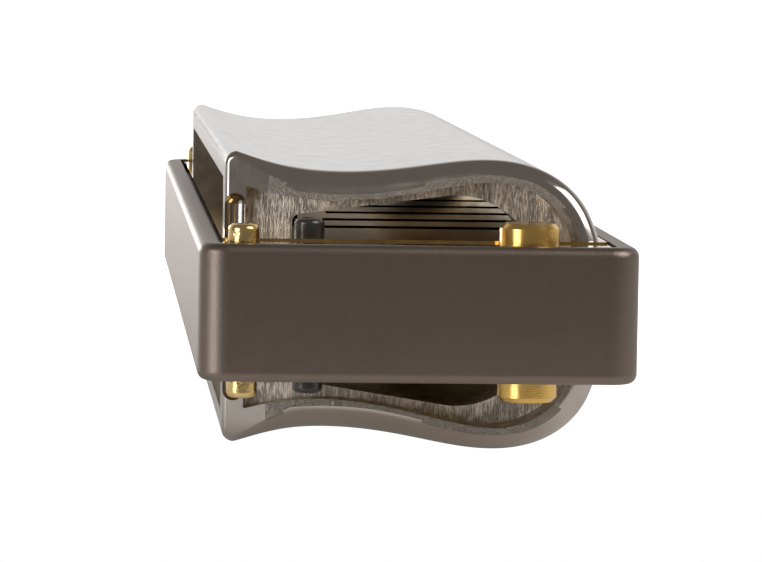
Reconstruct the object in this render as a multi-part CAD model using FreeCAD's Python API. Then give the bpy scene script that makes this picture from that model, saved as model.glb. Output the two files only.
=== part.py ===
import FreeCAD
import Part
import math
import os

# Ten-hole diatonic harmonica with a machined metal comb and two milled covers.
# Millimetres. X runs along the instrument, -Y is the mouthpiece side, +Y is the
# open back, +Z is the blow side. The origin is the centre of the comb.

# ---- comb ------------------------------------------------------------------
COMB_LENGTH = 102.0
COMB_DEPTH = 27.4
COMB_HEIGHT = 8.55
COMB_CORNER_RADIUS = 1.8      # corners seen from above
COMB_EDGE_RADIUS = 0.6        # long top and bottom edges
HOLE_COUNT = 10
HOLE_WIDTH = 5.2
MOUTH_BRIDGE = 0.85           # comb left between a mouth hole and a reed plate
MOUTH_BAR = 2.5               # comb between its front face and the chambers
MOUTH_CHAMFER = 0.35          # broken edge round each mouth hole
REAR_BAR = 4.4                # comb behind the longest chamber
RECESS_FRONT_RIM = 1.4        # comb left round the reed plate recess
RECESS_REAR_RIM = 1.25
RECESS_END_RIM = 0.9
RECESS_CORNER_RADIUS = 0.8

# ---- reed plates -----------------------------------------------------------
PLATE_THICKNESS = 1.0
PLATE_GAP_FRONT = 0.15        # play between a plate and its recess
PLATE_GAP_REAR = 0.3
PLATE_GAP_END = 0.1
PLATE_CORNER_RADIUS = 1.6
LAND_START = 4.45             # from the plate's end to the raised reed field
LAND_STEP = 0.12              # how far the plate's ends lie below that field

# ---- reeds -----------------------------------------------------------------
REED_THICKNESS = 0.3
REED_WIDTH_LONG = 2.4
REED_WIDTH_SHORT = 1.9
REED_SIDE_GAP = 0.06          # reed to slot, each side
REED_TIP_GAP = 0.15
REED_ROOT_GAP = 0.05          # slit that stands for the flexing root
REED_PAD_LENGTH = 3.0
REED_PAD_MARGIN = 0.5         # chamber left past the pad or the tip
REED_PAD_FLARE = 0.35         # pad wider than its reed, each side
REED_SHORTEST = 0.515         # shortest slot as a share of the longest
NOSE_CLEARANCE = 0.3          # cover's front wall to the nearest slots and pads
RIVET_RADIUS = 0.55
RIVET_HEAD_RADIUS = 0.95
RIVET_HEAD_HEIGHT = 0.3

# ---- covers ----------------------------------------------------------------
COVER_REAR_SETBACK = 1.95     # cover's back to the comb's back face
COVER_NOSE_INSET = 5.6        # comb's end to the cover's end, at the mouth side
COVER_TAIL_INSET = 12.4       # the same at the back
HUMP_RISE = 4.9               # above the comb's top face
DIP_RISE = 4.0
LIP_RISE = 5.1
LIP_INSET = 0.75              # the lip's rounding, from the cover's back
SHELL_THICKNESS = 1.4         # over the hump
DIP_THICKNESS = 1.9           # from the dip to the lip
NOSE_THICKNESS = 1.8          # shell where it meets the reed plate in front
COVER_END_RADIUS = 0.5        # rounding of the slanted ends' outer edges
POCKET_NOSE_DEPTH = 4.0       # end wall's setback behind the rim, mouth side
POCKET_TAIL_DEPTH = 1.0       # the same at the back
PILLAR_WIDTH = 1.35           # rear corner pillar left flush with the rim
OPENING_REAR_INSET = 4.35     # cover's back to the end opening
OPENING_FRONT_INSET = 4.2     # cover's front to the end opening
OPENING_RISE_REAR = 1.05
OPENING_RISE_FRONT = 2.5
OPENING_CORNER_RADIUS = 0.6
REAR_FOOT_LENGTH = 1.9        # solid foot behind the end wall, along X
FOOT_TO_PAD = 0.4             # feet's inner faces to the outermost reed pads
NOSE_GAP = 0.35               # plate's front edge to the cover's
NOTCH_RADIUS = 0.75           # ball-ended relief in each rear pillar
NOTCH_RISE = 2.4

# ---- fasteners -------------------------------------------------------------
POST_RADIUS = 1.88
POST_EDGE = 1.42              # comb's end to the post
POST_INSET = 6.7              # comb's front face to the post's centre
POST_PROUD = 1.3
POST_CHAMFER = 0.3
DOWEL_RADIUS = 0.75
DOWEL_REACH = 1.9             # into each cover foot
DOWEL_INSET = 1.3             # end wall's face to a dowel's centre
REAR_DOWEL_INSET = 1.6        # cover's back to the rear dowels
FRONT_DOWEL_INSET = 2.7       # cover's front to the front dowels
DOWEL_CHAMFER = 0.15
DOWEL_END_PLAY = 0.1
SCREW_HEAD_RADIUS = 0.95
SCREW_HEAD_HEIGHT = 1.25
SCREW_HEAD_ROUND = 0.35
SCREW_SHANK_RADIUS = 0.55
SCREW_LENGTH = 3.2            # below its head
SCREW_END_PLAY = 0.3          # hole left beyond the screw's point
END_SCREW_INSET = 7.1         # comb's back face to the end screws
END_SCREW_EDGE = 0.1          # reed field's edge to the end screws' heads
MIDDLE_SCREW_INSET = 6.9      # comb's back face to the middle screws
MIDDLE_SCREWS = 3             # screws over the walls between the middle chambers
CORNER_SCREW_EDGE = 2.3       # comb's end to the corner screws' centres
CORNER_SCREW_INSET = 2.8      # comb's back face to the same
SOCKET_RADIUS = 0.48          # inscribed radius of the hexagon socket
SOCKET_DEPTH = 0.6
FIT = 0.03                    # radial clearance of pins, posts and screws

# ---- worked out ------------------------------------------------------------
HALF_LENGTH = COMB_LENGTH / 2
FRONT = -COMB_DEPTH / 2
BACK = COMB_DEPTH / 2
TOP = COMB_HEIGHT / 2
RECESS_FLOOR = TOP - PLATE_THICKNESS
HOLE_HEIGHT = COMB_HEIGHT - 2 * (PLATE_THICKNESS + MOUTH_BRIDGE)
LONG_PAD_HALF = REED_WIDTH_LONG / 2 + REED_PAD_FLARE
FOOT_INSET = COVER_TAIL_INSET + POCKET_TAIL_DEPTH + REAR_FOOT_LENGTH
END_BLOCK = FOOT_INSET + FOOT_TO_PAD + LONG_PAD_HALF - HOLE_WIDTH / 2
HOLE_PITCH = (COMB_LENGTH - 2 * END_BLOCK - HOLE_WIDTH) / (HOLE_COUNT - 1)
CHAMBER_FRONT = FRONT + MOUTH_BAR
PLATE_FRONT = FRONT + RECESS_FRONT_RIM + PLATE_GAP_FRONT
PLATE_BACK = BACK - RECESS_REAR_RIM - PLATE_GAP_REAR
PLATE_END = HALF_LENGTH - RECESS_END_RIM - PLATE_GAP_END
LAND_END = PLATE_END - LAND_START
COVER_FRONT = PLATE_FRONT + NOSE_GAP
COVER_BACK = BACK - COVER_REAR_SETBACK
COVER_DEPTH = COVER_BACK - COVER_FRONT
SLOT_FRONT = COVER_FRONT + NOSE_THICKNESS + NOSE_CLEARANCE
LONGEST_SLOT = BACK - REAR_BAR - SLOT_FRONT - REED_PAD_LENGTH - REED_PAD_MARGIN
NOSE_END = HALF_LENGTH - COVER_NOSE_INSET
TAIL_END = HALF_LENGTH - COVER_TAIL_INSET
POST_X = HALF_LENGTH - POST_EDGE - POST_RADIUS
POST_Y = FRONT + POST_INSET
END_SCREW_X = LAND_END - SCREW_HEAD_RADIUS - END_SCREW_EDGE
END_SCREW_Y = BACK - END_SCREW_INSET
MIDDLE_SCREW_Y = BACK - MIDDLE_SCREW_INSET
CORNER_SCREW_X = HALF_LENGTH - CORNER_SCREW_EDGE
CORNER_SCREW_Y = BACK - CORNER_SCREW_INSET
FAR = 200.0                   # longer than anything here, for cutting tools


def at(x, y, z):
    return FreeCAD.Vector(x, y, z)


def block(x0, x1, y0, y1, z0, z1):
    return Part.makeBox(x1 - x0, y1 - y0, z1 - z0, at(x0, y0, z0))


def rounded_block(x0, x1, y0, y1, z0, z1, radius):
    solid = block(x0, x1, y0, y1, z0, z1)
    return solid.makeFillet(radius, edges_along_z(solid))


def edges_along_z(solid):
    found = []
    for edge in solid.Edges:
        box = edge.BoundBox
        if box.XLength < 1e-6 and box.YLength < 1e-6:
            found.append(edge)
    return found


def rod(x, y, z0, z1, radius):
    return Part.makeCylinder(radius, z1 - z0, at(x, y, z0))


def mirrored(shape):
    """The same piece on the draw side."""
    return shape.mirror(at(0, 0, 0), at(0, 0, 1))


def hole_x(index):
    return (index - (HOLE_COUNT - 1) / 2) * HOLE_PITCH


def slot_length(index):
    share = index / (HOLE_COUNT - 1)
    return LONGEST_SLOT * (1 - (1 - REED_SHORTEST) * share)


def reed_width(index):
    share = index / (HOLE_COUNT - 1)
    return REED_WIDTH_LONG + (REED_WIDTH_SHORT - REED_WIDTH_LONG) * share


def chamber_back(index):
    return SLOT_FRONT + slot_length(index) + REED_PAD_LENGTH + REED_PAD_MARGIN


def blow_slot_span(index):
    """Front and back of a blow slot. The reed's root is at the back."""
    return SLOT_FRONT, SLOT_FRONT + slot_length(index)


def draw_slot_span(index):
    """Front and back of a draw slot. The reed's root is at the front."""
    back = chamber_back(index) - REED_PAD_MARGIN
    return back - slot_length(index), back


def middle_screw_xs():
    """Centres of the middle screws, each over a wall between two chambers."""
    step = (HOLE_COUNT // (MIDDLE_SCREWS + 1)) * HOLE_PITCH
    middle = (MIDDLE_SCREWS - 1) / 2
    return [(i - middle) * step for i in range(MIDDLE_SCREWS)]


def plate_screw_places():
    ends = [(side * END_SCREW_X, END_SCREW_Y) for side in (-1, 1)]
    return ends + [(x, MIDDLE_SCREW_Y) for x in middle_screw_xs()]


def corner_screw_places():
    return [(side * CORNER_SCREW_X, CORNER_SCREW_Y) for side in (-1, 1)]


def screw_places():
    return plate_screw_places() + corner_screw_places()


def post_places():
    return [(side * POST_X, POST_Y) for side in (-1, 1)]


def tail_x_at(y):
    """Where the slanted end of a cover lies at a given y."""
    share = (y - COVER_FRONT) / COVER_DEPTH
    return NOSE_END + (TAIL_END - NOSE_END) * share


def wall_x_at(y):
    """Outer face of the end wall, set back behind the rim."""
    share = (y - COVER_FRONT) / COVER_DEPTH
    depth = POCKET_NOSE_DEPTH + (POCKET_TAIL_DEPTH - POCKET_NOSE_DEPTH) * share
    return tail_x_at(y) - depth


def dowel_places():
    """One dowel in the middle of each cover foot."""
    places = []
    for y in (COVER_BACK - REAR_DOWEL_INSET, COVER_FRONT + FRONT_DOWEL_INSET):
        x = wall_x_at(y) - DOWEL_INSET
        places += [(-x, y), (x, y)]
    return places


def bore(shape, places, radius):
    """Drills the same hole right through at each place."""
    for x, y in places:
        shape = shape.cut(rod(x, y, -FAR / 2, FAR / 2, radius))
    return shape


# ---- comb ------------------------------------------------------------------
def mouth_hole(index):
    x = hole_x(index)
    half_w = HOLE_WIDTH / 2
    half_h = HOLE_HEIGHT / 2
    hole = block(x - half_w, x + half_w, FRONT - 1, CHAMBER_FRONT + 0.5, -half_h, half_h)
    return hole.fuse(mouth_chamfer(x, half_w, half_h))


def mouth_chamfer(x, half_w, half_h):
    """A frustum that breaks the hole's edge at the comb's front face."""
    loops = []
    for y, grow in ((FRONT - 0.1, MOUTH_CHAMFER + 0.1), (FRONT + MOUTH_CHAMFER, 0.0)):
        w = half_w + grow
        h = half_h + grow
        corners = [at(x - w, y, -h), at(x + w, y, -h), at(x + w, y, h), at(x - w, y, h)]
        loops.append(Part.makePolygon(corners + corners[:1]))
    return Part.makeLoft(loops, True)


def chamber(index):
    x = hole_x(index)
    half_w = HOLE_WIDTH / 2
    return block(x - half_w, x + half_w, CHAMBER_FRONT, chamber_back(index), -FAR / 2, FAR / 2)


def plate_recess():
    y0 = FRONT + RECESS_FRONT_RIM
    y1 = BACK - RECESS_REAR_RIM
    x = HALF_LENGTH - RECESS_END_RIM
    return rounded_block(-x, x, y0, y1, RECESS_FLOOR, TOP + 1, RECESS_CORNER_RADIUS)


def comb():
    body = rounded_block(-HALF_LENGTH, HALF_LENGTH, FRONT, BACK, -TOP, TOP, COMB_CORNER_RADIUS)
    rims = [e for e in body.Edges if e.BoundBox.ZLength < 1e-6]
    body = body.makeFillet(COMB_EDGE_RADIUS, rims)
    body = body.cut(plate_recess())
    body = body.cut(mirrored(plate_recess()))
    for index in range(HOLE_COUNT):
        body = body.cut(chamber(index))
        body = body.cut(mouth_hole(index))
    body = bore(body, post_places(), POST_RADIUS + FIT)
    body = bore(body, dowel_places(), DOWEL_RADIUS + FIT)
    for x, y in screw_places():
        depth = SCREW_LENGTH + SCREW_END_PLAY
        hole = rod(x, y, TOP - depth, TOP + 1, SCREW_SHANK_RADIUS + FIT)
        body = body.cut(hole)
        body = body.cut(mirrored(hole))
    return body


# ---- reed plates -----------------------------------------------------------
def plate_blank():
    """A plate with its reed field left slightly higher than its two ends."""
    low = rounded_block(-PLATE_END, PLATE_END, PLATE_FRONT, PLATE_BACK,
                        RECESS_FLOOR, TOP - LAND_STEP, PLATE_CORNER_RADIUS)
    land = block(-LAND_END, LAND_END, PLATE_FRONT, PLATE_BACK, RECESS_FLOOR, TOP)
    return low.fuse(land).removeSplitter()


def reed_plate(slot_span):
    plate = plate_blank()
    for index in range(HOLE_COUNT):
        x = hole_x(index)
        half = reed_width(index) / 2 + REED_SIDE_GAP
        y0, y1 = slot_span(index)
        plate = plate.cut(block(x - half, x + half, y0, y1, RECESS_FLOOR - 1, TOP + 1))
    plate = bore(plate, post_places(), POST_RADIUS + FIT)
    plate = bore(plate, dowel_places(), DOWEL_RADIUS + FIT)
    plate = bore(plate, screw_places(), SCREW_SHANK_RADIUS + FIT)
    return plate


def blow_reed_plate():
    return bore(reed_plate(blow_slot_span), blow_rivet_places(), RIVET_RADIUS + FIT)


def draw_reed_plate():
    plate = reed_plate(draw_slot_span)
    return mirrored(bore(plate, draw_rivet_places(), RIVET_RADIUS + FIT))


# ---- reeds -----------------------------------------------------------------
def blow_rivet_places():
    return [(hole_x(i), blow_slot_span(i)[1] + REED_PAD_LENGTH / 2) for i in range(HOLE_COUNT)]


def draw_rivet_places():
    return [(hole_x(i), draw_slot_span(i)[0] - REED_PAD_LENGTH / 2) for i in range(HOLE_COUNT)]


def blow_tongue(index):
    """Lies against the plate's inner face, its tip towards the mouth."""
    front, root = blow_slot_span(index)
    x = hole_x(index)
    half = reed_width(index) / 2
    return block(x - half, x + half, front + REED_TIP_GAP, root - REED_ROOT_GAP,
                 RECESS_FLOOR - REED_THICKNESS, RECESS_FLOOR)


def draw_tongue(index):
    """Lies against the draw plate's outer face, its tip towards the back."""
    root, back = draw_slot_span(index)
    x = hole_x(index)
    half = reed_width(index) / 2
    return block(x - half, x + half, root + REED_ROOT_GAP, back - REED_TIP_GAP,
                 -TOP - REED_THICKNESS, -TOP)


def reed_pad(index, y0, z0):
    half = reed_width(index) / 2 + REED_PAD_FLARE
    pad = block(hole_x(index) - half, hole_x(index) + half, y0, y0 + REED_PAD_LENGTH,
                z0, z0 + REED_THICKNESS)
    centre = y0 + REED_PAD_LENGTH / 2
    return bore(pad, [(hole_x(index), centre)], RIVET_RADIUS + FIT)


def blow_reed_pads():
    z0 = RECESS_FLOOR - REED_THICKNESS
    return [reed_pad(i, blow_slot_span(i)[1], z0) for i in range(HOLE_COUNT)]


def draw_reed_pads():
    z0 = -TOP - REED_THICKNESS
    return [reed_pad(i, draw_slot_span(i)[0] - REED_PAD_LENGTH, z0) for i in range(HOLE_COUNT)]


def rivet(x, y, low, high):
    """A shank between two faces with a low head on the reed's side."""
    shank = rod(x, y, low, high, RIVET_RADIUS)
    head = rod(x, y, low - RIVET_HEAD_HEIGHT, low, RIVET_HEAD_RADIUS)
    rim = [e for e in head.Edges if e.BoundBox.ZLength < 1e-6 and e.BoundBox.ZMax < low - 1e-6]
    head = head.makeFillet(RIVET_HEAD_HEIGHT * 0.6, rim)
    return shank.fuse(head).removeSplitter()


def blow_reed_rivets():
    low = RECESS_FLOOR - REED_THICKNESS
    return [rivet(x, y, low, TOP) for x, y in blow_rivet_places()]


def draw_reed_rivets():
    low = -TOP - REED_THICKNESS
    return [rivet(x, y, low, -RECESS_FLOOR) for x, y in draw_rivet_places()]


# ---- covers ----------------------------------------------------------------
def outer_curve():
    """The cover's section from the front of the reed plate to the rear lip."""
    d = COVER_DEPTH
    y = COVER_FRONT
    points = [
        at(0, y, TOP),
        at(0, y + 0.035 * d, TOP + 0.42 * HUMP_RISE),
        at(0, y + 0.125 * d, TOP + 0.83 * HUMP_RISE),
        at(0, y + 0.24 * d, TOP + HUMP_RISE),
        at(0, y + 0.50 * d, TOP + DIP_RISE + 0.42 * (HUMP_RISE - DIP_RISE)),
        at(0, y + 0.74 * d, TOP + DIP_RISE),
        at(0, y + 0.87 * d, TOP + DIP_RISE + 0.38 * (LIP_RISE - DIP_RISE)),
        at(0, COVER_BACK - LIP_INSET, TOP + LIP_RISE),
    ]
    curve = Part.BSplineCurve()
    curve.interpolate(Points=points)
    return curve


def inner_curve():
    """The outer curve moved inwards by the shell's thickness, which changes twice."""
    outer = outer_curve()
    first, last = outer.FirstParameter, outer.LastParameter
    steps = 12
    points = []
    for i in range(steps + 1):
        share = i / steps
        u = first + (last - first) * share
        along = outer.tangent(u)[0]
        inward = at(0, along.z, -along.y)
        past_nose = min(1.0, share / 0.3)
        past_hump = max(0.0, min(1.0, (share - 0.35) / 0.4))
        thickness = NOSE_THICKNESS + (SHELL_THICKNESS - NOSE_THICKNESS) * past_nose
        thickness += (DIP_THICKNESS - SHELL_THICKNESS) * past_hump
        points.append(outer.value(u) + inward * thickness)
    curve = Part.BSplineCurve()
    curve.interpolate(Points=points)
    return curve


def prism(edges, x0, x1):
    """A closed outline in the YZ plane, carried along X from x0 to x1."""
    face = Part.Face(Part.Wire(edges))
    face.translate(at(x0, 0, 0))
    return face.extrude(at(x1 - x0, 0, 0))


def lines(points):
    return [Part.makeLine(a, b) for a, b in zip(points, points[1:])]


def cover_mass():
    """The cover before it is hollowed, with slanted ends and rounded edges."""
    curve = outer_curve()
    start = curve.value(curve.FirstParameter)
    end = curve.value(curve.LastParameter)
    back_top = at(0, COVER_BACK, end.z - LIP_INSET)
    crest = at(0, COVER_BACK - LIP_INSET / 4, end.z - LIP_INSET / 4)
    lip = Part.Arc(end, crest, back_top).toShape()
    outline = [curve.toShape(), lip] + lines([back_top, at(0, COVER_BACK, TOP), start])
    mass = prism(outline, -NOSE_END, NOSE_END)
    plan = [at(-NOSE_END, COVER_FRONT, 0), at(NOSE_END, COVER_FRONT, 0),
            at(TAIL_END, COVER_BACK, 0), at(-TAIL_END, COVER_BACK, 0)]
    plan_face = Part.Face(Part.makePolygon(plan + plan[:1]))
    mass = mass.common(plan_face.extrude(at(0, 0, FAR / 2)))
    ends = [e for e in mass.Edges if on_slanted_end(e) and e.BoundBox.ZLength > 0.01]
    return mass.makeFillet(COVER_END_RADIUS, ends)


def on_slanted_end(edge):
    """Whether both of an edge's ends and its middle lie on one slanted end."""
    middle = edge.valueAt((edge.FirstParameter + edge.LastParameter) / 2)
    points = [v.Point for v in edge.Vertexes] + [middle]
    return all(abs(abs(p.x) - tail_x_at(p.y)) < 1e-4 for p in points)


def under_shell(rear_y):
    """Outline of the space under the shell, forward of rear_y."""
    curve = inner_curve()
    start = curve.value(curve.FirstParameter)
    low = TOP - 1.0
    drop = at(0, start.y, low)
    end = curve.value(curve.LastParameter)
    sides = lines([end, at(0, end.y + FAR / 20, end.z), at(0, end.y + FAR / 20, low), drop, start])
    whole = prism([curve.toShape()] + sides, -FAR / 2, FAR / 2)
    return whole.common(block(-FAR / 2, FAR / 2, -FAR / 2, rear_y, low - 1, FAR / 2))


def slab_between(face_a, face_b, side):
    """The space between two slanted upright planes at one end of the cover."""
    y0 = COVER_FRONT - 1
    y1 = COVER_BACK + 1
    corners = [at(side * face_a(y0), y0, 0), at(side * face_b(y0), y0, 0),
               at(side * face_b(y1), y1, 0), at(side * face_a(y1), y1, 0)]
    return Part.Face(Part.makePolygon(corners + corners[:1])).extrude(at(0, 0, FAR / 2))


def end_pockets(side):
    """The milled step behind the rim, down to the end wall."""
    return under_shell(COVER_BACK - PILLAR_WIDTH).common(
        slab_between(lambda y: FAR / 2, wall_x_at, side))


def end_opening():
    """The window through both end walls, flat on the plate below."""
    y_rear = COVER_BACK - OPENING_REAR_INSET
    y_front = COVER_FRONT + OPENING_FRONT_INSET
    z_rear = TOP + OPENING_RISE_REAR
    z_front = TOP + OPENING_RISE_FRONT
    low = TOP - 1.0
    crown = at(0, COVER_FRONT + 0.385 * COVER_DEPTH, z_front)
    bulge = at(0, y_front + 0.41 * (crown.y - y_front), TOP + 0.75 * OPENING_RISE_FRONT)
    sweep = Part.Arc(crown, bulge, at(0, y_front, TOP)).toShape()
    side = lines([at(0, y_front, TOP), at(0, y_front, low), at(0, y_rear, low),
                  at(0, y_rear, z_rear), crown])
    window = prism([sweep] + side, -FAR / 2, FAR / 2)
    corner = [e for e in window.Edges if runs_along_x_at(e, y_rear, z_rear)]
    return window.makeFillet(OPENING_CORNER_RADIUS, corner)


def runs_along_x_at(edge, y, z):
    box = edge.BoundBox
    return box.XLength > 1 and abs(box.YMax - y) < 1e-4 and abs(box.ZMax - z) < 1e-4


def open_back():
    """The space under the shell between the feet, open behind."""
    x = HALF_LENGTH - FOOT_INSET
    return under_shell(FAR / 4).common(block(-x, x, -FAR / 2, FAR / 2, 0, FAR / 2))


def pillar_notch(side):
    """A ball-ended relief up the outer corner of a rear pillar."""
    y = COVER_BACK - PILLAR_WIDTH / 2
    x = side * tail_x_at(y)
    straight = TOP + NOTCH_RISE - NOTCH_RADIUS
    notch = rod(x, y, TOP - 1, straight, NOTCH_RADIUS)
    return notch.fuse(Part.makeSphere(NOTCH_RADIUS, at(x, y, straight)))


def dowel_sockets():
    depth = DOWEL_REACH + DOWEL_END_PLAY
    return [rod(x, y, TOP - 1, TOP + depth, DOWEL_RADIUS + FIT)
            for x, y in dowel_places()]


def top_cover():
    cover = cover_mass()
    cover = cover.cut(open_back())
    cover = cover.cut(end_opening())
    for side in (-1, 1):
        cover = cover.cut(end_pockets(side))
        cover = cover.cut(pillar_notch(side))
    for socket in dowel_sockets():
        cover = cover.cut(socket)
    return cover


def bottom_cover():
    return mirrored(top_cover())


# ---- fasteners -------------------------------------------------------------
def brass_posts():
    """Bushes right through the comb and both plates, proud on each side."""
    reach = TOP + POST_PROUD
    posts = []
    for x, y in post_places():
        post = rod(x, y, -reach, reach, POST_RADIUS)
        rims = [e for e in post.Edges if e.BoundBox.ZLength < 1e-6]
        posts.append(post.makeChamfer(POST_CHAMFER, rims))
    return posts


def cover_dowels():
    reach = TOP + DOWEL_REACH
    dowels = []
    for x, y in dowel_places():
        dowel = rod(x, y, -reach, reach, DOWEL_RADIUS)
        rims = [e for e in dowel.Edges if e.BoundBox.ZLength < 1e-6]
        dowels.append(dowel.makeChamfer(DOWEL_CHAMFER, rims))
    return dowels


def socket_screw(x, y, seat):
    head = rod(x, y, seat, seat + SCREW_HEAD_HEIGHT, SCREW_HEAD_RADIUS)
    rim = [e for e in head.Edges if e.BoundBox.ZMin > seat + 0.01 and e.BoundBox.ZLength < 1e-6]
    head = head.makeFillet(SCREW_HEAD_ROUND, rim)
    head = head.cut(hexagon_socket(x, y, seat + SCREW_HEAD_HEIGHT))
    shank = rod(x, y, TOP - SCREW_LENGTH, seat, SCREW_SHANK_RADIUS)
    return head.fuse(shank).removeSplitter()


def hexagon_socket(x, y, top):
    across_corners = SOCKET_RADIUS / math.cos(math.pi / 6)
    corners = []
    for i in range(7):
        turn = i * math.pi / 3
        corners.append(at(x + across_corners * math.cos(turn),
                          y + across_corners * math.sin(turn), top - SOCKET_DEPTH))
    return Part.Face(Part.makePolygon(corners)).extrude(at(0, 0, SOCKET_DEPTH + 1))


def blow_plate_screws():
    return [socket_screw(x, y, TOP) for x, y in plate_screw_places()]


def draw_plate_screws():
    return [mirrored(screw) for screw in blow_plate_screws()]


def corner_screws():
    """Brass screws on the lower ends of both plates, at their rear corners."""
    blow = [socket_screw(x, y, TOP - LAND_STEP) for x, y in corner_screw_places()]
    return blow + [mirrored(screw) for screw in blow]


# ---- files -----------------------------------------------------------------
def save(name, shape):
    if isinstance(shape, list):
        shape = Part.makeCompound(shape)
    shape.exportStep(os.path.join("parts", name + ".step"))


def main():
    os.makedirs("parts", exist_ok=True)
    save("comb", comb())
    save("blow_reed_plate", blow_reed_plate())
    save("draw_reed_plate", draw_reed_plate())
    save("top_cover", top_cover())
    save("bottom_cover", bottom_cover())
    for index in range(HOLE_COUNT):
        save(f"blow_reed_{index + 1}", blow_tongue(index))
        save(f"draw_reed_{index + 1}", draw_tongue(index))
    save("blow_reed_pads", blow_reed_pads())
    save("draw_reed_pads", draw_reed_pads())
    save("blow_reed_rivets", blow_reed_rivets())
    save("draw_reed_rivets", draw_reed_rivets())
    save("brass_posts", brass_posts())
    save("cover_dowels", cover_dowels())
    save("blow_plate_screws", blow_plate_screws())
    save("draw_plate_screws", draw_plate_screws())
    save("corner_screws", corner_screws())


main()
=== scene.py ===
import math

import bmesh
import bpy
import numpy as np
from bpy.props import FloatProperty, FloatVectorProperty, PointerProperty
from bpy.types import Operator, Panel, PropertyGroup
from mathutils import Euler, Matrix, Vector


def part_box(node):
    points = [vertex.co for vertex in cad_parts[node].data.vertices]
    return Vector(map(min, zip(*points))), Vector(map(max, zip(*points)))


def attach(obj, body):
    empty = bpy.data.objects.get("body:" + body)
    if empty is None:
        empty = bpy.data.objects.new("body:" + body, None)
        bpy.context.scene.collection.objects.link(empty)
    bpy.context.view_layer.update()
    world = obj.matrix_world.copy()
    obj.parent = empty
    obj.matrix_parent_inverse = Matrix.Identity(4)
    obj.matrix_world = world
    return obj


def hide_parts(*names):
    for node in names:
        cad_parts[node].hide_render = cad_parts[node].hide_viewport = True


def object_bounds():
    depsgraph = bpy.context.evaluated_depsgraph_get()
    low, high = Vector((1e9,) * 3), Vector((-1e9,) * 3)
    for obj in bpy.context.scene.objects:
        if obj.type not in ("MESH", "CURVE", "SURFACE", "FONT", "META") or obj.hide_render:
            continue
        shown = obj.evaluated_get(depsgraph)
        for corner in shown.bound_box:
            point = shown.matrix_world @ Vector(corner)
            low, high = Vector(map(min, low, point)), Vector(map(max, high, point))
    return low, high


bl_info = {
    "name": "Harmonica looks",
    "version": (1, 0, 0),
    "blender": (4, 5, 0),
    "location": "3D View > Sidebar > Harmonica",
    "description": "Milled covers, machined finishes and a studio for a ten-hole harmonica",
    "category": "Object",
}

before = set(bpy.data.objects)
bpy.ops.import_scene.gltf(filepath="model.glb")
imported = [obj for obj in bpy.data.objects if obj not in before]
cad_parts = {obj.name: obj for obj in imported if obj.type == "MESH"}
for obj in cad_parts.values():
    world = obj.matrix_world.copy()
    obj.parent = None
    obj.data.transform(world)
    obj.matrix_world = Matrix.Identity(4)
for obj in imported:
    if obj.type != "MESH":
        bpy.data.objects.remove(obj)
CAD_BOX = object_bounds()
BODY = "harmonica_frame"
MM = 0.001

COVER_LOW, COVER_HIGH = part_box("top_cover")
COMB_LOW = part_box("comb")[0]

COVER_FRONT = COVER_LOW.y
COVER_BACK = COVER_HIGH.y
COVER_DEPTH = COVER_BACK - COVER_FRONT
NOSE_END = COVER_HIGH.x
SEAT = COVER_LOW.z
LIP_RISE = COVER_HIGH.z - SEAT

# The cover's outer section in front: shares of its depth, and of its hump's rise.
FRONT_SHARES = (0.0, 0.035, 0.125, 0.24)
FRONT_RISES = (0.0, 0.42, 0.83, 1.0)
# Behind the hump: the slope down, the dip and the slope up to the lip.
REAR_SHARES = (0.50, 0.74, 0.87)
SLOPE_DOWN = 0.42
SLOPE_UP = 0.38
SECTION_POINTS = 110

# Places along that section, from front to lip, between which walls and roundings change.
WALL_STATIONS = (0.0, 0.30, 0.35, 0.75)
ROUND_STATIONS = (0.0, 0.10, 0.24, 0.40, 0.65, 0.84, 0.97, 1.0)
RIM_STEPS = 9

# The end opening's crown and the bulge of its front sweep, as shares.
CROWN_SHARE = 0.385
BULGE_SHARE = 0.41
BULGE_RISE = 0.75

# Cutters reach this far past the surface that they open.
UNDER = 2.0 * MM
CLEAR = 10.0 * MM
FAR = 80.0 * MM

# Where the floor and the backdrop show directly, they are at least this bright.
SEEN_FLOOR = 1.1
# How fast the backdrop fades towards the room (X), and towards the ceiling (Z).
BACKDROP_EDGE = (0.15, 0.75)
BACKDROP_TOP = (0.35, 0.80)
ROOM_TINT = (1.0, 0.92, 0.85)
BACKDROP_TINT = (1.0, 1.0, 1.0)

# The camera's aim beside the comb's axis, its line of sight and its lean.
AIM_MM = (2.49, 2.10)
SIGHT = (-270.0, 19.11, 21.18)
LEAN_DEGREES = 0.95

# Soft lights, in millimetres and watts: name, place, aim, width, height, power.
LAMPS = (
    ("left_light", (-285, 340, 60), (-45, 0, 0), 200, 260, 0.65),
    ("right_light", (-215, -265, 250), (-45, 0, 0), 280, 260, 0.9),
    ("back_light", (500, 250, 60), (0, 10, 0), 260, 140, 0.7),
)


# ---- sizes and colours -----------------------------------------------------
def length(name, description, millimetres):
    """A size that a user sets, in the scene's units."""
    return FloatProperty(name=name, description=description, default=millimetres * MM,
                         min=0.0, unit="LENGTH", precision=5)


def colour(name, description, red, green, blue):
    """A linear colour that a user sets."""
    return FloatVectorProperty(name=name, description=description, subtype="COLOR", size=3,
                               default=(red, green, blue), min=0.0, max=1.0)


def share(name, description, default, top=1.0):
    """A plain factor that a user sets."""
    return FloatProperty(name=name, description=description, default=default, min=0.0, max=top,
                         subtype="FACTOR")


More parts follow.
